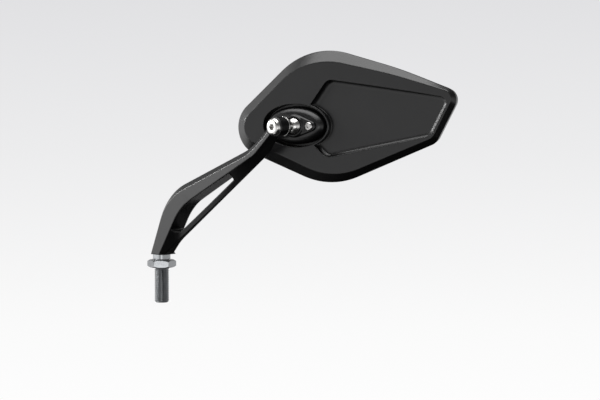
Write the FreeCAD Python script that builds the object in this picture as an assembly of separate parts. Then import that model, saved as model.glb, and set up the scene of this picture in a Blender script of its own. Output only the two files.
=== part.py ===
import FreeCAD, Part
import math
import os
from FreeCAD import Vector

# Left-hand motorcycle mirror, in millimetres.
# The origin is the middle of the lock nut's lower face, +Z runs up the stud,
# +X runs out along the arm, and the arm's broad front faces -Y.

# Stud and lock nut: M10 lower thread, plain collar, M6 upper thread in the arm.
# Inside the nut the thread is a plain cylinder at its mean radius.
thread_radius = 5.0
thread_mean_radius = 4.55
thread_length = 24.0
thread_point = 1.0
nut_height = 5.0
nut_across_flats = 17.0
nut_chamfer = 0.7
nut_corner_slope = 30.0
nut_turn = -15.0
nut_gap = 0.6
collar_radius = 6.0
collar_height = 3.4
collar_flats = 10.5
upper_thread_radius = 3.0
upper_thread_length = 6.0
running_clearance = 0.05
thread_clearance = 0.02
hole_reserve = 0.4

# Arm: a plate 13.5 mm thick at its foot, thinner towards the eye.
arm_front_y = -6.75
arm_foot_rear_y = 6.75
arm_eye_rear_y = 1.95
arm_edge_bevel = 3.9
arm_rear_bevel = 2.6
eye_x = 115.0
eye_z = 100.2
eye_radius = 6.3
eye_front_y = -5.35
eye_edge_round = 0.4
spot_face_gap = 0.3
# In-plane lines as (x, z, bend radius). The first two points of a line are measured from the middle
# of the foot, the last two from the eye's centre. The outer line is the upper left edge, the inner line
# the lower right, and the ridge parts the flat front from the sloping side.
outer_line = [(-7.6, 0.0, 0.0), (9.2, 41.8, 45.0), (-23.8, -15.0, 50.0), (-5.0, 2.1, 0.0)]
inner_line = [(7.0, 0.0, 0.0), (15.9, 9.8, 40.0), (-9.5, -17.5, 25.0), (1.5, -2.5, 0.0)]
ridge_line = [(4.2, 0.0, 0.0), (25.4, 34.3, 42.0), (-18.2, -19.0, 25.0), (-3.0, -5.0, 0.0)]
# Depth of the sloping side at each bend of the inner line, taken a little beyond that line.
slope_edge_y = [-3.0, 0.6, 0.6, -0.7]
slope_overrun = 0.6
# Slot between the spar and the thin strut.
strut_width = 2.8
slot_above_foot = 16.5
slot_to_eye = 41.5
slot_corner = 1.3
slot_edge_break = 0.35
bevel_overrun = 1.0

# Swivel screw, washer and ball stud on the eye's axis.
screw_radius = 2.5
screw_head_radius = 5.8
screw_head_height = 2.9
screw_edge_height = 0.7
screw_crown_radius = 2.8
screw_crown_bulge = 0.6
screw_socket_flats = 4.0
screw_socket_depth = 2.2
screw_reach = 4.6
washer_radius = 6.5
washer_thickness = 1.0
stud_shoulder_radius = 4.2
stud_shoulder_length = 4.0
neck_radius = 3.0
neck_hollow = 0.25
neck_overlap = 0.6
ball_radius = 6.0
ball_offset = 11.55
fit_clearance = 0.04

# Ball joint inside the head, measured from the ball's centre. Depths grow towards the glass.
head_yaw = 18.0
liner_thickness = 0.86
liner_lip = 1.0
retainer_radius = 7.8
retainer_end_radius = 3.4
retainer_half_length = 15.5
retainer_thickness = 2.2
retainer_collar_radius = 7.3
retainer_collar_height = 0.9
retainer_mouth_radius = 5.6
retainer_lip = 0.55
retainer_bevel = 0.7
retainer_screw_x = 11.5
retainer_screw_radius = 1.5
retainer_screw_length = 6.5
retainer_head_radius = 2.75
retainer_head_height = 1.7
retainer_head_round = 1.0
retainer_socket_flats = 2.5
retainer_socket_depth = 1.1
pod_top_depth = -0.2
pod_centre_x = -1.0
pod_half_length = 21.5
pod_half_height = 12.4
pod_shoulder = 6.0
pod_screw_x = 16.5
pod_screw_radius = 1.25
pod_screw_head_radius = 2.4
pod_screw_head_height = 1.3
pod_screw_grip = 5.0
pod_screw_sunk = 0.1
recess_gap = 1.7
pad_radius = 5.1
pad_web = 0.81
spring_hole_radius = 2.6
spring_height = 0.65
spring_thickness = 0.4

# Head outline as (x, z, corner radius): left tip, crown, upper bow, outer upper, outer lower, chin.
head_outline = [
    (-63.7, -9.4, 19.0),
    (7.1, 54.7, 52.8),
    (72.0, 38.5, 300.0),
    (116.0, 23.5, 8.5),
    (98.2, -9.3, 10.0),
    (22.0, -41.3, 54.0),
]
face_outline = [
    (-47.4, -5.2, 11.0),
    (6.8, 46.3, 53.0),
    (68.0, 35.0, 300.0),
    (112.4, 23.7, 5.5),
    (97.0, -5.6, 8.0),
    (26.4, -34.8, 50.0),
]
face_depth_left = 0.5
face_depth_right = 4.5
rim_above_recess = 4.6
rim_height = 5.0
rim_taper = 1.2
rim_wall = 1.5
bevel_round = 0.5
outline_round = 1.6
pocket_depth_left = 4.4
pocket_depth_right = 0.8
pocket_outline = [
    (22.3, 30.8, 7.0),
    (110.3, 21.3, 5.0),
    (96.1, -4.8, 7.0),
    (21.3, -20.6, 6.0),
    (6.0, -6.5, 0.0),
    (5.0, 7.0, 0.0),
]
pocket_land = 1.3
pocket_round = 3.0
glass_curve_radius = 1400.0
glass_centre_x = 33.0
glass_centre_z = 6.0
glass_thickness = 2.0
glass_gap = 0.25
glass_below_rim = 0.2
glass_edge_reach = 79.0
foam_thickness = 0.8
foam_inset = 2.5

# Sizes that follow from the ones above.
arm_foot_z = nut_height + nut_gap + collar_height
collar_foot_z = nut_height + nut_gap
ball_y = arm_eye_rear_y + ball_offset
ball_centre = Vector(eye_x, ball_y, eye_z)
liner_radius = ball_radius + fit_clearance + liner_thickness
socket_radius = liner_radius + fit_clearance
retainer_top = pod_top_depth - retainer_thickness
retainer_collar_top = retainer_top - retainer_collar_height
retainer_mouth_depth = retainer_collar_top + retainer_lip
recess_half_length = pod_half_length + recess_gap
recess_half_height = pod_half_height + recess_gap
pad_foot_depth = socket_radius + pad_web
recess_floor_depth = pad_foot_depth + spring_height
rim_depth = recess_floor_depth + rim_above_recess
outline_depth = rim_depth - rim_height
spring_radius = pad_radius - running_clearance
stud_seat_y = arm_eye_rear_y + washer_thickness
seat_inset = rim_taper + rim_wall
glass_edge_depth = rim_depth - glass_below_rim
glass_centre_y = glass_edge_depth - math.sqrt(glass_curve_radius ** 2 - glass_edge_reach ** 2)
seat_below_face = glass_thickness + foam_thickness
far = 60.0
touch = 0.01
sharp = 0.2


def save(name, shape):
    """Write one sub-part and print its size."""
    shape.exportStep("parts/" + name + ".step")
    print(name, len(shape.Solids), "solid(s)", round(shape.Volume, 1), "mm3", shape.isValid())


def rounded_edges(points, radii, closed):
    """Straight runs joined by tangent arcs at the corners that have a radius."""
    count = len(points)
    joins = []
    for i in range(count):
        corner = points[i]
        if radii[i] == 0:
            joins.append((corner, None, corner))
            continue
        back = (points[i - 1] - corner).normalize()
        ahead = (points[(i + 1) % count] - corner).normalize()
        half = back.getAngle(ahead) / 2
        run = radii[i] / math.tan(half)
        middle = (back + ahead).normalize() * (radii[i] / math.sin(half) - radii[i])
        joins.append((corner + back * run, corner + middle, corner + ahead * run))
    edges = []
    for i in range(count):
        start, middle, end = joins[i]
        if middle is not None:
            edges.append(Part.Arc(start, middle, end).toShape())
        if closed or i < count - 1:
            edges.append(Part.makeLine(end, joins[(i + 1) % count][0]))
    return edges


def plane_wire(corners, depth_at):
    """Closed rounded outline of (x, z, radius) corners, lifted to the depth at each x."""
    points = [Vector(x, depth_at(x), z) for x, z, radius in corners]
    return Part.Wire(rounded_edges(points, [radius for x, z, radius in corners], True))


def prism(corners, low, high):
    """Rounded outline extruded along Y from low to high."""
    face = Part.Face(plane_wire(corners, lambda x: low))
    return face.extrude(Vector(0, high - low, 0))


def inset(corners, distance):
    """The clockwise outline moved inwards by one distance on every side."""
    count = len(corners)
    lines = []
    for i in range(count):
        x0, z0, radius = corners[i]
        x1, z1, radius = corners[(i + 1) % count]
        length = math.hypot(x1 - x0, z1 - z0)
        along = ((x1 - x0) / length, (z1 - z0) / length)
        lines.append((x0 + along[1] * distance, z0 - along[0] * distance, along))
    moved = []
    for i in range(count):
        x0, z0, first = lines[i - 1]
        x1, z1, second = lines[i]
        cross = first[0] * second[1] - first[1] * second[0]
        step = ((x1 - x0) * second[1] - (z1 - z0) * second[0]) / cross
        radius = max(corners[i][2] - distance, 1.0)
        moved.append((x0 + first[0] * step, z0 + first[1] * step, radius))
    return moved


def rod(radius, low, high, x=0.0, z=0.0):
    """Cylinder along Y."""
    return Part.makeCylinder(radius, high - low, Vector(x, low, z), Vector(0, 1, 0))


def post(radius, low, high):
    """Cylinder along Z on the stud's axis."""
    return Part.makeCylinder(radius, high - low, Vector(0, 0, low), Vector(0, 0, 1))


def oval(half_length, half_height, low, high):
    """Elliptical cylinder along Y about the pod's centre."""
    middle = Vector(pod_centre_x, low, 0)
    end = middle + Vector(half_length, 0, 0)
    side = middle + Vector(0, 0, half_height)
    curve = Part.Ellipse(end, side, middle)
    return Part.Face(Part.Wire(curve.toShape())).extrude(Vector(0, high - low, 0))


def hexagon(across_flats, low, high, axis):
    """Hexagonal prism on the Z or Y axis."""
    corner = across_flats / math.sqrt(3)
    points = []
    for i in range(7):
        angle = math.radians(60 * i)
        u = corner * math.cos(angle)
        v = corner * math.sin(angle)
        points.append(Vector(u, v, low) if axis == "Z" else Vector(u, low, v))
    move = Vector(0, 0, high - low) if axis == "Z" else Vector(0, high - low, 0)
    return Part.Face(Part.makePolygon(points)).extrude(move)


def turned(profile):
    """Solid of revolution about the Y axis from (radius, y) points."""
    points = [Vector(radius, y, 0) for radius, y in profile]
    face = Part.Face(Part.makePolygon(points + points[:1]))
    return face.revolve(Vector(0, 0, 0), Vector(0, 1, 0), 360)


def edges_where(shape, test):
    """Edges whose ends and middle all pass the test."""
    chosen = []
    for edge in shape.Edges:
        middle = edge.valueAt((edge.FirstParameter + edge.LastParameter) / 2)
        spots = [vertex.Point for vertex in edge.Vertexes] + [middle]
        if all(test(spot) for spot in spots):
            chosen.append(edge)
    return chosen


def in_head(shape):
    """Turn a piece made about the ball's centre to the head's rest position."""
    placed = shape.copy()
    placed.rotate(Vector(0, 0, 0), Vector(0, 0, 1), head_yaw)
    placed.translate(ball_centre)
    return placed


def on_eye(shape):
    """Move a piece made on the Y axis onto the eye's axis."""
    return shape.translated(Vector(eye_x, 0, eye_z))


def group(shapes):
    """Identical separate solids in one node."""
    return Part.makeCompound(shapes)


def make_stud():
    stud = post(thread_radius, -thread_length, 0)
    point = edges_where(stud, lambda p: p.z < -thread_length + touch)
    stud = stud.makeChamfer(thread_point, point[:1])
    collar = post(collar_radius, collar_foot_z, arm_foot_z)
    flats = Part.makeBox(far, collar_flats, far, Vector(-far / 2, -collar_flats / 2, 0))
    stud = stud.fuse(post(thread_mean_radius, 0, collar_foot_z))
    stud = stud.fuse(collar.common(flats))
    return stud.fuse(post(upper_thread_radius, arm_foot_z, arm_foot_z + upper_thread_length))


def make_nut():
    corner = nut_across_flats / math.sqrt(3)
    flat = nut_across_flats / 2 - nut_chamfer / 3
    slope = (corner - flat) * math.tan(math.radians(nut_corner_slope))
    rounder = turned([
        (0, 0),
        (flat, 0),
        (corner, slope),
        (corner, nut_height - slope),
        (flat, nut_height),
        (0, nut_height),
    ])
    rounder.rotate(Vector(0, 0, 0), Vector(1, 0, 0), 90)
    nut = hexagon(nut_across_flats, 0, nut_height, "Z").common(rounder)
    nut.rotate(Vector(0, 0, 0), Vector(0, 0, 1), nut_turn)
    bore_radius = thread_mean_radius + running_clearance
    nut = nut.cut(post(bore_radius, -far, far))
    mouths = edges_where(nut, lambda p: math.hypot(p.x, p.y) < bore_radius + touch)
    rims = [edge for edge in mouths if len(edge.Vertexes) == 1]
    return nut.makeChamfer(nut_chamfer, rims)


def from_frame(line):
    """One of the arm's lines with its points moved from the foot and the eye to the frame."""
    foot = [(x, z + arm_foot_z, radius) for x, z, radius in line[:2]]
    return foot + [(x + eye_x, z + eye_z, radius) for x, z, radius in line[2:]]


def arm_path(line, depths):
    """Edges of one of the arm's in-plane lines, with a depth at each bend."""
    points = [Vector(x, y, z) for (x, z, radius), y in zip(line, depths)]
    return rounded_edges(points, [radius for x, z, radius in line], False)


def area_between(first, second, tip):
    """Flat face between two paths, with extra corners at the eye's end."""
    ends = Part.makePolygon([first[-1].Vertexes[-1].Point] + tip + [second[-1].Vertexes[-1].Point])
    foot = Part.makeLine(first[0].Vertexes[0].Point, second[0].Vertexes[0].Point)
    return Part.Face(Part.Wire(Part.__sortEdges__(first + second + ends.Edges + [foot])))


def make_arm():
    outer = from_frame(outer_line)
    inner = from_frame(inner_line)
    front = [arm_front_y] * len(outer)
    inside_eye = Vector(eye_x + eye_radius / 2, arm_front_y, eye_z + eye_radius / 3)
    plate = area_between(arm_path(outer, front), arm_path(inner, front), [inside_eye])
    arm = plate.extrude(Vector(0, arm_foot_rear_y - arm_front_y, 0))
    wedge = Part.makePolygon([
        Vector(-far, arm_rear_y(-far), 0),
        Vector(2 * eye_x, arm_rear_y(2 * eye_x), 0),
        Vector(2 * eye_x, far, 0),
        Vector(-far, far, 0),
        Vector(-far, arm_rear_y(-far), 0),
    ])
    arm = arm.cut(Part.Face(wedge).extrude(Vector(0, 0, 2 * eye_z)))

    arm = arm.cut(bevel_tool(outer, 1, arm_edge_bevel, front, -1))
    arm = arm.cut(bevel_tool(outer, 1, arm_edge_bevel, [arm_rear_y(x) for x, z, radius in outer], 1))
    arm = arm.cut(bevel_tool(inner, -1, arm_rear_bevel, [arm_rear_y(x) for x, z, radius in inner], 1))
    ridge = arm_path(from_frame(ridge_line), front)
    low_edge = arm_path(shifted(inner, slope_overrun), slope_edge_y)
    slope = Part.makeRuledSurface(Part.Wire(ridge), Part.Wire(low_edge))
    arm = arm.cut(slope.extrude(Vector(0, -far, 0)))
    arm = arm.cut(make_slot(inner))

    eye = rod(eye_radius, eye_front_y, arm_eye_rear_y, eye_x, eye_z)
    eye = eye.makeFillet(eye_edge_round, [edge for edge in eye.Edges if len(edge.Vertexes) == 1])
    arm = arm.fuse(eye).removeSplitter()
    arm = arm.cut(rod(screw_head_radius + spot_face_gap, -far, eye_front_y, eye_x, eye_z))
    arm = arm.cut(rod(washer_radius + spot_face_gap, arm_eye_rear_y, far, eye_x, eye_z))
    arm = arm.cut(rod(screw_radius + running_clearance, -far, far, eye_x, eye_z))
    top = arm_foot_z + upper_thread_length + hole_reserve
    return arm.cut(post(upper_thread_radius + thread_clearance, 0, top))


def arm_rear_y(x):
    """Depth of the arm's rear plane, which comes forward towards the eye."""
    return arm_foot_rear_y - (arm_foot_rear_y - arm_eye_rear_y) * x / eye_x


def shifted(line, distance):
    """One of the arm's lines moved sideways, to the right of its run for a positive distance."""
    runs = []
    for (x0, z0, first), (x1, z1, second) in zip(line, line[1:]):
        length = math.hypot(x1 - x0, z1 - z0)
        runs.append(((x1 - x0) / length, (z1 - z0) / length))
    moved = []
    for i, (x, z, radius) in enumerate(line):
        before = runs[max(i - 1, 0)]
        after = runs[min(i, len(runs) - 1)]
        turn = before[0] * after[1] - before[1] * after[0]
        lean = 1 + before[0] * after[0] + before[1] * after[1]
        x += distance * (before[1] + after[1]) / lean
        z -= distance * (before[0] + after[0]) / lean
        moved.append((x, z, radius + math.copysign(distance, distance * turn) if radius else 0.0))
    return moved


def bevel_tool(line, inward, bevel, depths, step):
    """Wedge that bevels a long edge of the front face (step -1) or the rear face (step 1)."""
    reach = bevel + bevel_overrun
    high = arm_path(shifted(line, inward * reach), [y + step * bevel_overrun for y in depths])
    low = arm_path(shifted(line, -inward * bevel_overrun), [y - step * reach for y in depths])
    surface = Part.makeRuledSurface(Part.Wire(high), Part.Wire(low))
    return surface.extrude(Vector(0, step * far, 0))


def make_slot(inner):
    """Curved triangle between the ridge line and the strut, cut right through along Y."""
    level = [-far] * len(inner)
    zone = area_between(arm_path(from_frame(ridge_line), level), arm_path(inner, level), [])
    band = zone.extrude(Vector(0, 2 * far, 0))
    band.translate(Vector(slot_edge_break, 0, -slot_edge_break))
    x0, z0, radius = inner[1]
    x1, z1, radius = inner[2]
    along = Vector(x1 - x0, 0, z1 - z0).normalize()
    across = Vector(-along.z, 0, along.x)
    low = Vector(x0, -far, z0) + across * strut_width - along * far
    high = low + along * 4 * far
    strut_side = Part.makePolygon([low, high, high + across * far, low + across * far, low])
    above_strut = Part.Face(strut_side).extrude(Vector(0, 2 * far, 0))
    foot = Vector(0, -far, arm_foot_z + slot_above_foot)
    ends = Part.makeBox(eye_x - slot_to_eye, 2 * far, 2 * eye_z, foot)
    slot = band.common(above_strut).common(ends)
    return slot.makeFillet(slot_corner, cutout_corners(slot))


def cutout_corners(shape):
    """Sharp straight edges along Y, which are the corners of a cut-out."""
    chosen = []
    for edge in shape.Edges:
        ends = [vertex.Point for vertex in edge.Vertexes]
        if math.hypot(ends[0].x - ends[-1].x, ends[0].z - ends[-1].z) > touch:
            continue
        faces = shape.ancestorsOfType(edge, Part.Face)
        normals = [face.normalAt(*face.Surface.parameter(ends[0])) for face in faces]
        if normals[0].getAngle(normals[1]) > sharp:
            chosen.append(edge)
    return chosen


def make_swivel_screw():
    crown = eye_front_y - screw_head_height
    rim = Vector(screw_head_radius, eye_front_y - screw_edge_height, 0)
    flat = Vector(screw_crown_radius, crown, 0)
    bulge = (rim + flat) / 2 + Vector(screw_crown_bulge, -screw_crown_bulge, 0)
    edges = [
        Part.makeLine(Vector(0, eye_front_y, 0), Vector(screw_head_radius, eye_front_y, 0)),
        Part.makeLine(Vector(screw_head_radius, eye_front_y, 0), rim),
        Part.Arc(rim, bulge, flat).toShape(),
        Part.makeLine(flat, Vector(0, crown, 0)),
        Part.makeLine(Vector(0, crown, 0), Vector(0, eye_front_y, 0)),
    ]
    dome = Part.Face(Part.Wire(edges)).revolve(Vector(0, 0, 0), Vector(0, 1, 0), 360)
    screw = dome.fuse(rod(screw_radius, eye_front_y, stud_seat_y + screw_reach))
    return on_eye(screw.cut(hexagon(screw_socket_flats, -far, crown + screw_socket_depth, "Y")))


def make_eye_washer():
    ring = rod(washer_radius, arm_eye_rear_y, stud_seat_y)
    ring = ring.cut(rod(screw_radius + running_clearance, -far, far))
    return on_eye(ring)


def make_ball_stud():
    wide = Vector(stud_shoulder_radius, stud_seat_y + stud_shoulder_length, 0)
    narrow = Vector(neck_radius, ball_y - ball_radius + neck_overlap, 0)
    hollow = (wide + narrow) / 2 - Vector(neck_hollow, neck_hollow / 2, 0)
    edges = [
        Part.makeLine(Vector(0, stud_seat_y, 0), Vector(stud_shoulder_radius, stud_seat_y, 0)),
        Part.makeLine(Vector(stud_shoulder_radius, stud_seat_y, 0), wide),
        Part.Arc(wide, hollow, narrow).toShape(),
        Part.makeLine(narrow, Vector(neck_radius, ball_y, 0)),
        Part.makeLine(Vector(neck_radius, ball_y, 0), Vector(0, ball_y, 0)),
        Part.makeLine(Vector(0, ball_y, 0), Vector(0, stud_seat_y, 0)),
    ]
    shank = Part.Face(Part.Wire(edges)).revolve(Vector(0, 0, 0), Vector(0, 1, 0), 360)
    stud = shank.fuse(Part.makeSphere(ball_radius, Vector(0, ball_y, 0)))
    hole = rod(screw_radius + thread_clearance, 0, stud_seat_y + screw_reach + hole_reserve)
    return on_eye(stud.cut(hole))


def make_ball_liner():
    shell = Part.makeSphere(liner_radius).cut(Part.makeSphere(ball_radius + fit_clearance))
    return in_head(shell.cut(rod(far, -far, -liner_lip)))


def make_pressure_pad():
    pad = rod(pad_radius, 0, pad_foot_depth)
    return in_head(pad.cut(Part.makeSphere(socket_radius)))


def make_seat_spring():
    rise = spring_height - spring_thickness
    cone = turned([
        (spring_hole_radius, pad_foot_depth),
        (spring_radius, pad_foot_depth + rise),
        (spring_radius, recess_floor_depth),
        (spring_hole_radius, recess_floor_depth - rise),
    ])
    return in_head(cone)


def screw_places(middle, offset):
    return [middle - offset, middle + offset]


def make_joint_pod():
    pod = oval(pod_half_length, pod_half_height, pod_top_depth, recess_floor_depth)
    top = edges_where(pod, lambda p: p.y < pod_top_depth + touch)
    pod = pod.makeFillet(pod_shoulder, top)
    pod = pod.cut(rod(socket_radius, -far, 0))
    pod = pod.cut(Part.makeSphere(socket_radius))
    pod = pod.cut(rod(pad_radius + running_clearance, 0, far))
    for x in screw_places(0, retainer_screw_x):
        end = retainer_top + retainer_screw_length + hole_reserve
        pod = pod.cut(rod(retainer_screw_radius + thread_clearance, -far, end, x))
    for x in screw_places(pod_centre_x, pod_screw_x):
        end = recess_floor_depth - pod_screw_grip - hole_reserve
        pod = pod.cut(rod(pod_screw_radius + thread_clearance, end, far, x))
    return in_head(pod)


def make_retainer():
    reach = retainer_half_length - retainer_end_radius
    lean = math.acos((retainer_radius - retainer_end_radius) / reach)
    shoulder = Vector(retainer_radius * math.cos(lean), 0, retainer_radius * math.sin(lean))
    tip = Vector(reach + retainer_end_radius * math.cos(lean), 0, retainer_end_radius * math.sin(lean))
    quarters = [Vector(1, 1, 1), Vector(1, 1, -1), Vector(-1, 1, -1), Vector(-1, 1, 1)]
    shoulders = [Vector(shoulder.x * q.x, retainer_top, shoulder.z * q.z) for q in quarters]
    tips = [Vector(tip.x * q.x, retainer_top, tip.z * q.z) for q in quarters]
    edges = [
        Part.makeLine(shoulders[0], tips[0]),
        Part.Arc(tips[0], Vector(retainer_half_length, retainer_top, 0), tips[1]).toShape(),
        Part.makeLine(tips[1], shoulders[1]),
        Part.Arc(shoulders[1], Vector(0, retainer_top, -retainer_radius), shoulders[2]).toShape(),
        Part.makeLine(shoulders[2], tips[2]),
        Part.Arc(tips[2], Vector(-retainer_half_length, retainer_top, 0), tips[3]).toShape(),
        Part.makeLine(tips[3], shoulders[3]),
        Part.Arc(shoulders[3], Vector(0, retainer_top, retainer_radius), shoulders[0]).toShape(),
    ]
    plate = Part.Face(Part.Wire(edges)).extrude(Vector(0, retainer_thickness, 0))
    plate = plate.makeChamfer(retainer_bevel, edges_where(plate, lambda p: p.y < retainer_top + touch))
    collar = turned([
        (0, retainer_top + retainer_thickness / 2),
        (retainer_collar_radius, retainer_top + retainer_thickness / 2),
        (retainer_collar_radius, retainer_top),
        (retainer_collar_radius - retainer_bevel, retainer_collar_top),
        (0, retainer_collar_top),
    ])
    plate = plate.fuse(collar)
    cavity = Part.makeSphere(socket_radius).common(rod(far, retainer_mouth_depth, far))
    plate = plate.cut(cavity).cut(rod(retainer_mouth_radius, -far, 0))
    for x in screw_places(0, retainer_screw_x):
        plate = plate.cut(rod(retainer_screw_radius + running_clearance, -far, far, x))
    return in_head(plate)


def make_retainer_screws():
    screws = []
    for x in screw_places(0, retainer_screw_x):
        top = retainer_top - retainer_head_height
        head = rod(retainer_head_radius, top, retainer_top, x)
        rim = edges_where(head, lambda p: p.y < top + touch)
        head = head.makeFillet(retainer_head_round, rim[:1])
        socket = hexagon(retainer_socket_flats, -far, top + retainer_socket_depth, "Y")
        head = head.cut(socket.translated(Vector(x, 0, 0)))
        shank = rod(retainer_screw_radius, retainer_top, retainer_top + retainer_screw_length, x)
        screws.append(in_head(head.fuse(shank)))
    return group(screws)


def seat_sphere(below):
    """Ball of the mirror's curve, this far below the glass's reflecting face."""
    middle = Vector(glass_centre_x, glass_centre_y, glass_centre_z)
    return Part.makeSphere(glass_curve_radius - below, middle)


def seat_depth(x):
    """Depth of the glass seat at one x on the head's middle line."""
    radius = glass_curve_radius - seat_below_face
    away = math.hypot(x - glass_centre_x, glass_centre_z)
    return glass_centre_y + math.sqrt(radius ** 2 - away ** 2)


def face_depth(x):
    """Depth of the sloping back face, thinner towards the outer end."""
    left = face_outline[0][0]
    right = face_outline[3][0]
    return face_depth_left + (face_depth_right - face_depth_left) * (x - left) / (right - left)


def pocket_floor(x):
    """Depth of the pocket's floor, deepest beside the pod and shallow at the outer end."""
    left = pocket_outline[-1][0]
    right = pocket_outline[1][0]
    below = pocket_depth_left + (pocket_depth_right - pocket_depth_left) * (x - left) / (right - left)
    return face_depth(x) + below


def make_housing():
    rim = plane_wire(inset(head_outline, rim_taper), lambda x: rim_depth)
    wide = plane_wire(head_outline, lambda x: outline_depth)
    face = plane_wire(face_outline, face_depth)
    housing = Part.makeLoft([rim, wide, face], True, True)
    widest = edges_where(housing, lambda p: abs(p.y - outline_depth) < touch)
    housing = housing.makeFillet(outline_round, widest)
    crest = edges_where(housing, lambda p: abs(p.y - face_depth(p.x)) < touch)
    housing = housing.makeFillet(bevel_round, crest)
    seat = prism(inset(head_outline, seat_inset), outline_depth, far)
    housing = housing.cut(seat.cut(seat_sphere(seat_below_face)))
    pocket = Part.Face(plane_wire(pocket_outline, pocket_floor)).extrude(Vector(0, -far, 0))
    land = oval(recess_half_length + pocket_land, recess_half_height + pocket_land, -2 * far, far)
    floor_rim = edges_where(pocket, lambda p: abs(p.y - pocket_floor(p.x)) < touch)
    pocket = pocket.makeFillet(pocket_round, floor_rim)
    housing = housing.cut(pocket.cut(land))
    housing = housing.cut(oval(recess_half_length, recess_half_height, -far, recess_floor_depth))
    for x in screw_places(pod_centre_x, pod_screw_x):
        housing = housing.cut(pod_screw(x, running_clearance))
    return in_head(housing)


def pod_screw(x, clearance):
    """Countersunk screw from the glass seat into the pod; a clearance makes its hole."""
    top = seat_depth(x) - pod_screw_sunk
    sink = top - pod_screw_head_height
    head = turned([
        (0, sink),
        (pod_screw_radius + clearance, sink),
        (pod_screw_head_radius + clearance, top),
        (0, top),
    ]).translated(Vector(x, 0, 0))
    if clearance > 0:
        head = head.fuse(rod(pod_screw_head_radius + clearance, top, far, x))
    foot = recess_floor_depth - pod_screw_grip
    return head.fuse(rod(pod_screw_radius + clearance, foot, sink, x))


def make_pod_screws():
    return group([in_head(pod_screw(x, 0)) for x in screw_places(pod_centre_x, pod_screw_x)])


def make_glass():
    sheet = prism(inset(head_outline, seat_inset + glass_gap), 0, far)
    return in_head(sheet.common(seat_sphere(0)).cut(seat_sphere(glass_thickness)))


def make_foam():
    sheet = prism(inset(head_outline, seat_inset + foam_inset), 0, far)
    return in_head(sheet.common(seat_sphere(glass_thickness)).cut(seat_sphere(seat_below_face)))


os.makedirs("parts", exist_ok=True)
save("mounting_stud", make_stud())
save("lock_nut", make_nut())
save("arm", make_arm())
save("swivel_screw", make_swivel_screw())
save("eye_washer", make_eye_washer())
save("ball_stud", make_ball_stud())
save("ball_liner", make_ball_liner())
save("pressure_pad", make_pressure_pad())
save("seat_spring", make_seat_spring())
save("joint_pod", make_joint_pod())
save("pod_screws", make_pod_screws())
save("retainer_flange", make_retainer())
save("retainer_screws", make_retainer_screws())
save("mirror_housing", make_housing())
save("glass_pad", make_foam())
save("mirror_glass", make_glass())
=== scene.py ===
# %% [markdown]
# # A motorcycle mirror on a slotted arm
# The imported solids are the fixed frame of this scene: every piece is already in its place, in metres.
# Here each piece gets its finish, the plain stud gets a real thread, and a small studio is built round
# them.

# %% Load the frame
import math

import bmesh
import bpy
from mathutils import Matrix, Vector


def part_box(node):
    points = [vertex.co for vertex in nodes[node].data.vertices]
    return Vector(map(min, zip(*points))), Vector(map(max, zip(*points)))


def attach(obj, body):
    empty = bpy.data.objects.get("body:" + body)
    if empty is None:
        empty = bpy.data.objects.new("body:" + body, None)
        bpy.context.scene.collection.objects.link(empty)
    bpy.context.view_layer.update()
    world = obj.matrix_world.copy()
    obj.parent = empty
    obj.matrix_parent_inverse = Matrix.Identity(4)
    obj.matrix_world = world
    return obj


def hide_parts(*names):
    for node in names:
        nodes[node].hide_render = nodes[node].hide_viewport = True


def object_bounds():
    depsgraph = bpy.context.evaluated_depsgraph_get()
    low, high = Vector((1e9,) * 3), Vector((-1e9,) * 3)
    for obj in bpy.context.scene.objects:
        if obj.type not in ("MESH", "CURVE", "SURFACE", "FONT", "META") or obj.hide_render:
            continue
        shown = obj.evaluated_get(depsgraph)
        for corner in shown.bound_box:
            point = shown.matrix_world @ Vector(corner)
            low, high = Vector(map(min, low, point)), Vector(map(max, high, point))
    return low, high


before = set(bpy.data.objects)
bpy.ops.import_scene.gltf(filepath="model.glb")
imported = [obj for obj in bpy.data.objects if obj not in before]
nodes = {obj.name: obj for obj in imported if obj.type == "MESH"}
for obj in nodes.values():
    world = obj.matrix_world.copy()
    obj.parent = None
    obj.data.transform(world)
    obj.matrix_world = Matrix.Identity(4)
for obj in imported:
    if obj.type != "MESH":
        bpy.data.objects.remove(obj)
cad_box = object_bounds()
MM = 0.001
print("loaded", len(nodes), "nodes, box", [round(c / MM) for c in cad_box[1] - cad_box[0]], "mm")

# %% [markdown]
# ## Colours and nodes
# Colours are picked as sRGB hex values, the way a paint chart gives them, and Blender's shaders want
# linear light. One function does that step. One more adds a node with its settings, its links and, for
# a colour ramp, its stops, and a third starts a material. No real surface is one flat colour, so each
# finish goes from one tone to another by a noise pattern. Most of such a pattern lies between 0.3 and
# 0.7, so the two tones are spread over that range.

# %% Colour and node helpers
pattern_low = 0.3
pattern_high = 0.7


def linear(hex_colour):
    """Linear RGBA of an sRGB hex colour."""
    channels = [int(hex_colour[i:i + 2], 16) / 255 for i in (1, 3, 5)]
    return [c / 12.92 if c <= 0.04045 else ((c + 0.055) / 1.055) ** 2.4 for c in channels] + [1.0]


def add(tree, kind, links=None, stops=None, **settings):
    """A new node: settings are its sockets (with _ for a space) or properties, links feed its sockets,
    and stops are a ramp's places with their hex colours."""
    node = tree.nodes.new(kind)
    for name, value in settings.items():
        socket = name.replace("_", " ")
        if socket in node.inputs:
            node.inputs[socket].default_value = value
        else:
            setattr(node, name, value)
    for socket, source in (links or {}).items():
        tree.links.new(source, node.inputs[socket])
    if stops:
        elements = node.color_ramp.elements
        elements.remove(elements[1])
        first_place, first_colour = stops[0]
        elements[0].position = first_place
        elements[0].color = linear(first_colour)
        for place, colour in stops[1:]:
            elements.new(place).color = linear(colour)
    return node


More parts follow.
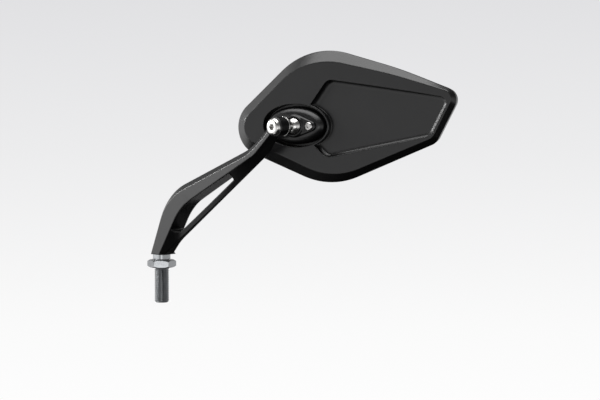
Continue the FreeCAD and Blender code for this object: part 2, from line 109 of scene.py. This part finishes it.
def new_finish(name, **settings):
    """A new material, its tree, its shader with plain settings, and the object coordinates."""
    material = bpy.data.materials.new(name)
    material.use_nodes = True
    tree = material.node_tree
    shader = tree.nodes["Principled BSDF"]
    for socket, value in settings.items():
        shader.inputs[socket].default_value = value
    place = add(tree, "ShaderNodeTexCoord").outputs["Object"]
    return material, tree, shader, place


print("helpers ready; mid grey is", round(linear("#808080")[0], 3), "in linear light")

# %% [markdown]
# ## Black anodised aluminium
# The arm, the head and the joint's outer pieces are milled from aluminium, blasted with fine beads and
# anodised black. The dyed oxide is a clear ceramic skin, so it reflects like a dielectric and not like
# bare metal: dark and satin, with a soft sheen. Beads leave dimples of about 0.1 mm, and they are drawn
# 0.35 mm wide here so that they can be seen. Blasting also wears the milled ridges round. The Bevel node
# turns the shading over within a millimetre of an edge, and that draws the thin light line along the arm
# without any change to its solid.

# %% Black anodised aluminium
dye_cloud = 14 * MM
bead_dimple = 0.35 * MM
dimple_depth = 0.05 * MM
blasted_edge = 1.0 * MM

anodised, tree, shader, place = new_finish("satin_black_anodised_aluminium", IOR=1.53)
cloud = add(tree, "ShaderNodeTexNoise", {"Vector": place}, Scale=1 / dye_cloud, Detail=3.0)
dye = add(tree, "ShaderNodeValToRGB", {"Fac": cloud.outputs["Fac"]},
          stops=[(pattern_low, "#0b0b0c"), (pattern_high, "#111112")])
tree.links.new(dye.outputs["Color"], shader.inputs["Base Color"])
beads = add(tree, "ShaderNodeTexNoise", {"Vector": place}, Scale=1 / bead_dimple, Detail=2.0)
grit = beads.outputs["Fac"]
satin = add(tree, "ShaderNodeMapRange", {"Value": grit}, To_Min=0.27, To_Max=0.37)
tree.links.new(satin.outputs["Result"], shader.inputs["Roughness"])
ridges = add(tree, "ShaderNodeBevel", samples=8, Radius=blasted_edge).outputs["Normal"]
dimples = add(tree, "ShaderNodeBump", {"Height": grit, "Normal": ridges},
              Strength=0.12, Distance=dimple_depth)
tree.links.new(dimples.outputs["Normal"], shader.inputs["Normal"])
print(anodised.name, "with dimples", round(bead_dimple / MM, 2), "mm wide")

# %% [markdown]
# ## Polished stainless steel
# The swivel screw, the washer and the ball stud are turned on a lathe and polished. What is left of the
# turning is a set of very fine rings, so a wave texture draws rings about the swivel's axis. At a scale
# of 1 that texture has one ring in every tau / 20 units, so its scale is that length divided by the real
# pitch.

# %% Polished stainless steel
ring_pitch = 0.1885 * MM
ring_depth = 0.02 * MM
wave_length = math.tau / 20
polish_smear = 3 * MM
ball_low, ball_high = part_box("ball_stud")
swivel_axis = Vector(((ball_low.x + ball_high.x) / 2, 0, (ball_low.z + ball_high.z) / 2))

stainless, tree, shader, place = new_finish("polished_stainless_steel", Metallic=1.0)
centred = add(tree, "ShaderNodeMapping", {"Vector": place}, Location=-swivel_axis).outputs["Vector"]
rings = add(tree, "ShaderNodeTexWave", {"Vector": centred}, wave_type="RINGS", rings_direction="Y",
            Scale=wave_length / ring_pitch, Distortion=0.4, Detail=1.0)
turning = add(tree, "ShaderNodeBump", {"Height": rings.outputs["Fac"]},
              Strength=0.06, Distance=ring_depth)
tree.links.new(turning.outputs["Normal"], shader.inputs["Normal"])
buffing = add(tree, "ShaderNodeTexNoise", {"Vector": place}, Scale=1 / polish_smear, Detail=3.0)
smear = buffing.outputs["Fac"]
bright = add(tree, "ShaderNodeValToRGB", {"Fac": smear},
             stops=[(pattern_low, "#c6c5c3"), (pattern_high, "#dddcda")])
tree.links.new(bright.outputs["Color"], shader.inputs["Base Color"])
polish = add(tree, "ShaderNodeMapRange", {"Value": smear}, To_Min=0.2, To_Max=0.28)
tree.links.new(polish.outputs["Result"], shader.inputs["Roughness"])
print(stainless.name, "with rings", round(ring_pitch / MM, 2), "mm apart about x",
      round(swivel_axis.x / MM, 1))

# %% [markdown]
# ## Zinc-plated steel
# The stud and its lock nut are ordinary steel with bright zinc. Zinc crystals give a faint mottle about
# two millimetres across, and the plating is greyer than polished steel.

# %% Zinc-plated steel
zinc_crystal = 2.2 * MM
crystal_depth = 0.02 * MM

zinc, tree, shader, place = new_finish("bright_zinc_plated_steel", Metallic=1.0)
crystals = add(tree, "ShaderNodeTexNoise", {"Vector": place}, Scale=1 / zinc_crystal, Detail=4.0)
mottle = crystals.outputs["Fac"]
plating = add(tree, "ShaderNodeValToRGB", {"Fac": mottle},
              stops=[(pattern_low, "#8c8e90"), (pattern_high, "#9c9ea0")])
tree.links.new(plating.outputs["Color"], shader.inputs["Base Color"])
dull = add(tree, "ShaderNodeMapRange", {"Value": mottle}, To_Min=0.2, To_Max=0.28)
tree.links.new(dull.outputs["Result"], shader.inputs["Roughness"])
facets = add(tree, "ShaderNodeBump", {"Height": mottle}, Strength=0.05, Distance=crystal_depth)
tree.links.new(facets.outputs["Normal"], shader.inputs["Normal"])
print(zinc.name, "with a mottle of", round(zinc_crystal / MM, 1), "mm")

# %% [markdown]
# ## Silvered glass
# The mirror itself is glass with silver behind it. One metallic surface with almost no roughness does for
# both, since the glass is thin and clear. A faint film of handling marks keeps it from being a perfect
# mirror.

# %% Silvered glass
handling_mark = 25 * MM

silvered, tree, shader, place = new_finish("silvered_mirror_glass", Metallic=1.0)
marks = add(tree, "ShaderNodeTexNoise", {"Vector": place}, Scale=1 / handling_mark, Detail=5.0)
film = marks.outputs["Fac"]
silver = add(tree, "ShaderNodeValToRGB", {"Fac": film},
             stops=[(pattern_low, "#e4e9ea"), (pattern_high, "#eef2f2")])
tree.links.new(silver.outputs["Color"], shader.inputs["Base Color"])
haze = add(tree, "ShaderNodeMapRange", {"Value": film}, To_Min=0.005, To_Max=0.04)
tree.links.new(haze.outputs["Result"], shader.inputs["Roughness"])
print(silvered.name, "with marks of", round(handling_mark / MM), "mm")

# %% [markdown]
# ## Finishes inside the joint
# Screws from the glass side are black oxide steel, the disc spring is oiled spring steel, the cup round
# the ball is white acetal, the pressure pad is turned brass and the glass lies on black closed-cell foam.
# They hardly show, but each gets its own grain so that the model holds up when it is taken apart.

# %% Finishes inside the joint
grain_depth = 0.03 * MM
roughness_spread = 0.2


def hidden_finish(name, dark, light, grain, metallic, roughness):
    """A finish with one grain that varies its colour and roughness."""
    material, tree, shader, place = new_finish(name, Metallic=metallic)
    noise = add(tree, "ShaderNodeTexNoise", {"Vector": place}, Scale=1 / grain, Detail=4.0)
    pattern = noise.outputs["Fac"]
    tones = add(tree, "ShaderNodeValToRGB", {"Fac": pattern},
                stops=[(pattern_low, dark), (pattern_high, light)])
    tree.links.new(tones.outputs["Color"], shader.inputs["Base Color"])
    rough = add(tree, "ShaderNodeMapRange", {"Value": pattern},
                To_Min=roughness * (1 - roughness_spread), To_Max=roughness * (1 + roughness_spread))
    tree.links.new(rough.outputs["Result"], shader.inputs["Roughness"])
    bump = add(tree, "ShaderNodeBump", {"Height": pattern}, Strength=0.1, Distance=grain_depth)
    tree.links.new(bump.outputs["Normal"], shader.inputs["Normal"])
    return material


black_oxide = hidden_finish("black_oxide_screw_steel", "#1b1b1c", "#2a2a2b",
                            grain=0.6 * MM, metallic=1.0, roughness=0.4)
spring_steel = hidden_finish("oiled_spring_steel", "#5c5854", "#7b7772",
                             grain=0.8 * MM, metallic=1.0, roughness=0.3)
acetal = hidden_finish("white_acetal", "#dedbd2", "#ebe8e0",
                       grain=1.5 * MM, metallic=0.0, roughness=0.35)
brass = hidden_finish("turned_brass", "#b08d4c", "#cfab66",
                      grain=0.7 * MM, metallic=1.0, roughness=0.28)
foam = hidden_finish("closed_cell_foam", "#161617", "#2b2b2c",
                     grain=0.5 * MM, metallic=0.0, roughness=0.85)
print("five inner finishes ready")

# %% [markdown]
# ## Smooth curves and small rounds
# No machined edge is truly sharp, and no turned face shows facets. Modifiers leave the solids' own meshes
# alone, so each piece gets a weld, then a small bevel on its sharp edges, then smooth shading across
# every edge that bends less than 28 degrees, and at last weighted normals, which keep flat faces flat.
# The bevel is clamped wherever the mesh's own triangles are smaller than it.

# %% Smoothing by angle
smooth_angle = math.radians(28)

shading = bpy.data.node_groups.new("smooth_by_angle", "GeometryNodeTree")
shading.interface.new_socket("Geometry", in_out="INPUT", socket_type="NodeSocketGeometry")
shading.interface.new_socket("Geometry", in_out="OUTPUT", socket_type="NodeSocketGeometry")
shape_in = add(shading, "NodeGroupInput").outputs["Geometry"]
bend = add(shading, "GeometryNodeInputMeshEdgeAngle").outputs["Unsigned Angle"]
gentle = add(shading, "FunctionNodeCompare", {0: bend}, operation="LESS_THAN")
gentle.inputs[1].default_value = smooth_angle
all_smooth = add(shading, "GeometryNodeSetShadeSmooth", {"Geometry": shape_in}, domain="FACE")
by_edge = add(shading, "GeometryNodeSetShadeSmooth",
              {"Geometry": all_smooth.outputs[0], "Shade Smooth": gentle.outputs[0]}, domain="EDGE")
add(shading, "NodeGroupOutput", {"Geometry": by_edge.outputs[0]})
print("edges that bend less than", round(math.degrees(smooth_angle)), "degrees are smoothed")

# %% Finishes and rounds for the solids
weld_distance = 0.001 * MM


def soften(piece, edge_round):
    """Weld, bevel and smooth a piece without touching its mesh."""
    weld = piece.modifiers.new("weld", "WELD")
    weld.merge_threshold = weld_distance
    if edge_round:
        bevel = piece.modifiers.new("edge_round", "BEVEL")
        bevel.width = edge_round
        bevel.segments = 2
        bevel.limit_method = "ANGLE"
        bevel.angle_limit = smooth_angle
        bevel.use_clamp_overlap = True
    smooth = piece.modifiers.new("smooth", "NODES")
    smooth.node_group = shading
    weighted = piece.modifiers.new("flat_faces_stay_flat", "WEIGHTED_NORMAL")
    weighted.keep_sharp = True


finishes = {
    "arm": (anodised, 0.5 * MM),
    "mirror_housing": (anodised, 0.12 * MM),
    "joint_pod": (anodised, 0.15 * MM),
    "retainer_flange": (anodised, 0.12 * MM),
    "lock_nut": (zinc, 0.15 * MM),
    "swivel_screw": (stainless, 0.1 * MM),
    "eye_washer": (stainless, 0.4 * MM),
    "ball_stud": (stainless, 0.1 * MM),
    "retainer_screws": (stainless, 0.08 * MM),
    "mirror_glass": (silvered, 0.3 * MM),
    "pod_screws": (black_oxide, 0.0),
    "seat_spring": (spring_steel, 0.0),
    "ball_liner": (acetal, 0.0),
    "pressure_pad": (brass, 0.0),
    "glass_pad": (foam, 0.0),
}
for name, (finish, edge_round) in finishes.items():
    piece = nodes[name]
    piece.data.materials.clear()
    piece.data.materials.append(finish)
    soften(piece, edge_round)
print("dressed", len(finishes), "nodes")

# %% [markdown]
# ## The threaded stud
# The solid stud is a plain cylinder, but the real one has an M10 fine thread with a pitch of 1.25 mm,
# about 0.61 of its pitch deep. A helix could be swept and cut out of a rod, but that leaves a poor mesh.
# Here the thread is a height field wrapped round the axis: the radius at a place depends on how far round
# and how far up it lies. Above the thread come the shank inside the nut, a collar with two spanner flats,
# and the plain end that sits in the arm.

# %% Profiles of the stud
thread_radius = 5.0 * MM
thread_pitch = 1.25 * MM
thread_depth = 0.61 * thread_pitch
thread_foot = -24.0 * MM
point_chamfer = 1.0 * MM
root_share = 0.14
flank_share = 0.7
collar_radius = 6.0 * MM
collar_flats = 10.5 * MM


def thread_height(turns):
    """Rise of the thread above its root, from 0 to 1: flat root, flanks and a narrow crest."""
    off_root = abs((turns % 1.0) * 2 - 1)
    return min(max((off_root - root_share) / flank_share, 0.0), 1.0)


def thread_profile(z, angle):
    """Radius of the threaded part, with a chamfer at its point."""
    root = thread_radius - thread_depth
    radius = root + thread_depth * thread_height(z / thread_pitch - angle / math.tau)
    return min(radius, thread_radius - point_chamfer + (z - thread_foot))


def collar_profile(angle):
    """Radius of the round collar with its two spanner flats."""
    side = abs(math.sin(angle))
    on_round = collar_radius * side <= collar_flats / 2
    return collar_radius if on_round else collar_flats / 2 / side


print("thread", round(thread_depth / MM, 2), "mm deep; collar", round(collar_flats / MM, 1), "mm wide")

# %% Rows of the stud, from its point up
segments = 72
rows_per_turn = 10
edge = 0.25 * MM
shank_foot = 0.02 * MM
shank_radius = 4.55 * MM
collar_foot = 5.6 * MM
arm_foot = 9.0 * MM
upper_radius = 3.0 * MM
upper_length = 6.0 * MM

angles = [math.tau * k / segments for k in range(segments)]
shank = [shank_radius] * segments
collar = [collar_profile(angle) for angle in angles]
chamfered = [radius - edge for radius in collar]
upper = [upper_radius] * segments
row_count = round(-thread_foot / thread_pitch * rows_per_turn)
rows = []
for i in range(row_count + 1):
    z = thread_foot * (1 - i / row_count)
    rows.append((z, [thread_profile(z, angle) for angle in angles]))
rows += [
    (shank_foot, shank),
    (collar_foot, shank),
    (collar_foot, chamfered),
    (collar_foot + edge, collar),
    (arm_foot - edge, collar),
    (arm_foot, chamfered),
    (arm_foot, upper),
    (arm_foot + upper_length, upper),
]
print("stud of", len(rows), "rows with", row_count // rows_per_turn, "full turns of thread")

# %% Mesh of the stud
mesh = bpy.data.meshes.new("threaded_stud")
built = bmesh.new()
loops = []
for z, radii in rows:
    points = [(r * math.cos(angle), r * math.sin(angle), z) for r, angle in zip(radii, angles)]
    loops.append([built.verts.new(point) for point in points])
for low, high in zip(loops, loops[1:]):
    for k in range(segments):
        n = (k + 1) % segments
        built.faces.new((low[k], low[n], high[n], high[k]))
built.faces.new(list(reversed(loops[0])))
built.faces.new(loops[-1])
built.to_mesh(mesh)
built.free()
stud = bpy.data.objects.new("threaded_stud", mesh)
bpy.context.scene.collection.objects.link(stud)
mesh.materials.append(zinc)
soften(stud, edge_round=0.0)
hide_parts("mounting_stud")
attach(stud, "arm")
print("threaded stud with", len(mesh.polygons), "faces")

# %% [markdown]
# ## Backdrop
# The object is shown floating before a pale backdrop that goes from light grey at the top to nearly white
# below. The world gives that backdrop to the camera, to reflections and through glass, and a dimmer even
# light fills the shadows. The colours are listed by how steeply a ray looks down or up, from -1, straight
# down, to 1, straight up.

# %% Backdrop
ground_colour = "#ececec"
fill_colour = "#c8c8c8"
fill_strength = 0.35
backdrop_heights = [
    (-1.0, ground_colour),
    (-0.3, "#f6f6f6"),
    (-0.14, "#fdfdfd"),
    (-0.115, "#fafafa"),
    (-0.0625, "#ececed"),
    (-0.02, "#e2e2e4"),
    (0.12, "#bcbcbc"),
    (0.35, "#606060"),
]


def seen_ray(tree):
    """1 for rays that look at the backdrop: from the camera, off a glossy surface or through glass."""
    path = add(tree, "ShaderNodeLightPath").outputs
    looked = add(tree, "ShaderNodeMath",
                 {0: path["Is Camera Ray"], 1: path["Is Glossy Ray"]}, operation="MAXIMUM")
    through = add(tree, "ShaderNodeMath",
                  {0: looked.outputs[0], 1: path["Is Transmission Ray"]}, operation="MAXIMUM")
    return through.outputs[0]


world = bpy.data.worlds.new("studio")
world.use_nodes = True
bpy.context.scene.world = world
tree = world.node_tree
tree.nodes.clear()
direction = add(tree, "ShaderNodeTexCoord").outputs["Generated"]
height = add(tree, "ShaderNodeSeparateXYZ", {"Vector": direction}).outputs["Z"]
slope = add(tree, "ShaderNodeMapRange", {"Value": height}, From_Min=-1.0, From_Max=1.0)
sweep = add(tree, "ShaderNodeValToRGB", {"Fac": slope.outputs["Result"]},
            stops=[((z + 1) / 2, colour) for z, colour in backdrop_heights])
backdrop = add(tree, "ShaderNodeBackground", {"Color": sweep.outputs["Color"]}, Strength=1.0)
fill = add(tree, "ShaderNodeBackground", Color=linear(fill_colour), Strength=fill_strength)
mixed = add(tree, "ShaderNodeMixShader",
            {0: seen_ray(tree), 1: fill.outputs[0], 2: backdrop.outputs[0]})
add(tree, "ShaderNodeOutputWorld", {"Surface": mixed.outputs[0]})
print("backdrop with", len(backdrop_heights), "heights")

# %% [markdown]
# ## Floor and black card
# The floor is a sheet of pale paper far below. Nine tenths of what a looking ray sees there is the
# ground's own colour, and the rest is lit paper, which takes the shadow. Black metal needs something dark
# to mirror, or its lower sides turn grey, so a large card of black felt lies under the object. As with
# a lamp, the camera doesn't see it. Its far corners are cut off so that the glass mirrors the backdrop.

# %% Paper floor
paper_fibre = 4 * MM
shadow_share = 0.1
floor_drop = 4.0
floor_half = 0.8
floor_corners = [(-floor_half, -floor_half), (floor_half, -floor_half),
                 (floor_half, floor_half), (-floor_half, floor_half)]


def flat_sheet(name, corners, drop, material):
    """A level sheet below the nut."""
    mesh = bpy.data.meshes.new(name)
    mesh.from_pydata([(x, y, -drop) for x, y in corners], [], [range(len(corners))])
    mesh.materials.append(material)
    sheet = bpy.data.objects.new(name, mesh)
    bpy.context.scene.collection.objects.link(sheet)
    return sheet


paper, tree, shader, place = new_finish("backdrop_paper", Roughness=0.9)
fibres = add(tree, "ShaderNodeTexNoise", {"Vector": place}, Scale=1 / paper_fibre, Detail=3.0)
pulp = add(tree, "ShaderNodeValToRGB", {"Fac": fibres.outputs["Fac"]},
           stops=[(pattern_low, "#dcdcdc"), (pattern_high, "#e4e4e4")])
tree.links.new(pulp.outputs["Color"], shader.inputs["Base Color"])
glow = add(tree, "ShaderNodeEmission", Color=linear(ground_colour), Strength=1.0)
share = add(tree, "ShaderNodeMath", {0: seen_ray(tree)}, operation="MULTIPLY")
share.inputs[1].default_value = 1 - shadow_share
shown = add(tree, "ShaderNodeMixShader",
            {0: share.outputs[0], 1: shader.outputs[0], 2: glow.outputs[0]})
tree.links.new(shown.outputs[0], tree.nodes["Material Output"].inputs["Surface"])
flat_sheet("studio_floor", floor_corners, floor_drop, paper)
print("floor", floor_drop, "m below the nut")

# %% Black card
felt_fibre = 2 * MM
card_drop = 1.0
card_corners = [(-1.8, -1.5), (2.6, -1.5), (2.6, 1.15), (-0.9, 1.65), (-1.5, 1.1), (-1.8, 0.3)]

felt, tree, shader, place = new_finish("black_felt", Roughness=0.95)
hairs = add(tree, "ShaderNodeTexNoise", {"Vector": place}, Scale=1 / felt_fibre, Detail=3.0)
nap = add(tree, "ShaderNodeValToRGB", {"Fac": hairs.outputs["Fac"]},
          stops=[(pattern_low, "#0c0c0c"), (pattern_high, "#161616")])
tree.links.new(nap.outputs["Color"], shader.inputs["Base Color"])
card = flat_sheet("black_card", card_corners, card_drop, felt)
card.visible_camera = False
print("black card", card_drop, "m below the nut")

# %% [markdown]
# ## Lamps
# Satin metal shows its surroundings, so each lamp stands where a face should mirror it. The large softbox
# above draws the crown and the upper bevels, the one at the upper left the head's left bevel, and the one
# at the left the arm's broad front. A narrow strip draws the line along the arm's ridge. A weak one low
# in front keeps the faces that look down from going black, and the one beside the camera lights the
# screw's dome and the nut.

# %% Lamps
middle = (cad_box[0] + cad_box[1]) / 2


def softbox(name, offset, size, power, aim=(0, 0, 0)):
    """A rectangular area lamp; its offset and its aim are measured from the object's middle, in metres."""
    light = bpy.data.lights.new(name, "AREA")
    light.shape = "RECTANGLE"
    light.size, light.size_y = size
    light.energy = power
    lamp = bpy.data.objects.new(name, light)
    lamp.location = middle + Vector(offset)
    beam = Vector(aim) - Vector(offset)
    lamp.rotation_euler = beam.to_track_quat("-Z", "Y").to_euler()
    bpy.context.scene.collection.objects.link(lamp)


softbox("top_softbox", (-0.06, -0.2, 1.05), size=(1.3, 1.1), power=17.5, aim=(-0.03, 0, 0))
softbox("upper_left_softbox", (-1.1, -0.3, 0.58), size=(0.75, 0.6), power=1.5)
softbox("left_softbox", (-0.85, -0.7, -0.02), size=(0.8, 0.7), power=1.6)
softbox("ridge_strip", (-0.96, -0.7, 0.25), size=(1.0, 0.07), power=7.0)
softbox("low_front_softbox", (-0.36, -0.72, -0.76), size=(0.45, 0.45), power=0.6)
softbox("front_softbox", (1.2, -1.3, -0.35), size=(0.5, 0.4), power=1.6)
print("six softboxes round", [round(c / MM) for c in middle], "mm")

# %% [markdown]
# ## Camera
# The camera stands far away with a long lens, so that the head and the arm keep their proportions. Two
# angles give its direction, and its place is set so that the object lies where it should in the frame.

# %% Camera
view_azimuth = math.radians(45.0)
view_elevation = math.radians(4.5)
camera_place = Vector((1614.8, -1481.8, 218.0)) * MM
lens_mm = 194.04
sensor_mm = 36.0

towards_camera = Vector((
    math.sin(view_azimuth) * math.cos(view_elevation),
    -math.cos(view_azimuth) * math.cos(view_elevation),
    math.sin(view_elevation)))
camera_data = bpy.data.cameras.new("camera")
camera_data.sensor_width = sensor_mm
camera_data.lens = lens_mm
camera_data.clip_start = 0.05
camera_data.clip_end = 100.0
camera = bpy.data.objects.new("camera", camera_data)
camera.location = camera_place
camera.rotation_euler = towards_camera.to_track_quat("Z", "Y").to_euler()
bpy.context.scene.collection.objects.link(camera)
bpy.context.scene.camera = camera
bpy.context.scene.view_settings.view_transform = "Standard"
print("camera", round((camera_place - middle).length, 2), "m away, lens", lens_mm, "mm")

# %% Finish
bpy.context.view_layer.update()
